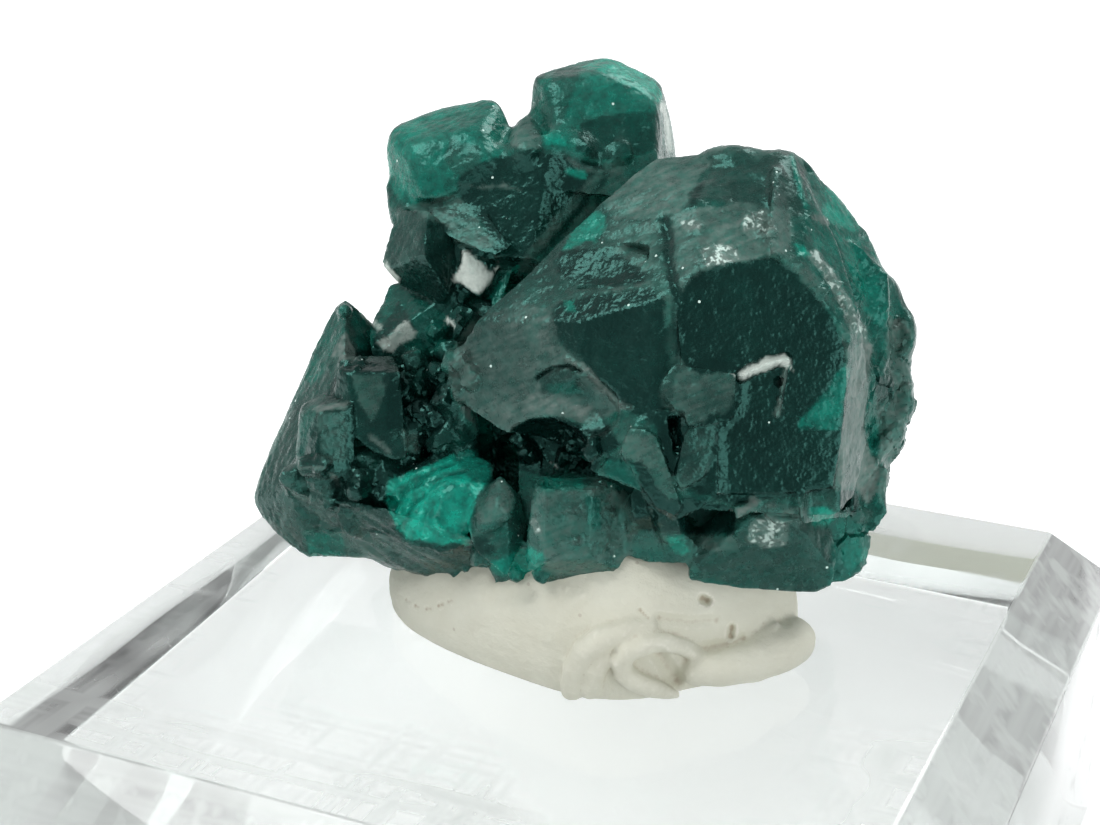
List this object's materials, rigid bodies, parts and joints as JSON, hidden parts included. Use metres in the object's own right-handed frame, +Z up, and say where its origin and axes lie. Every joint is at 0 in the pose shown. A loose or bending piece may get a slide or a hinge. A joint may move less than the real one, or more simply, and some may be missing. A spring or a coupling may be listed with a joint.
{
  "type": "dioptase specimen on a base",
  "caption": "Cluster of dark emerald-green dioptase crystals grown together, pressed into off-white putty on a clear square base with bevelled top edges.",
  "frame": {"origin": "middle of the underside of the clear base", "axes": "+X along the base's front edge, +Y from its front to its back, +Z up; the crystals' best side looks towards +X and -Y"},
  "size_m": [0.0318, 0.0318, 0.0306],
  "materials": {
    "dioptase": "glassy crystal faces, deep emerald green, clear enough to glow at thin edges and nearly black in the thick parts",
    "putty": "matte off-white putty with folds, finger-smoothed areas and small pits",
    "clear_acrylic": "clear, polished, with light scratches"
  },
  "bodies": {
    "root": {"dioptase": "dioptase", "mineral_tack": "putty", "acrylic_base": "clear_acrylic"}
  },
  "joints": []
}
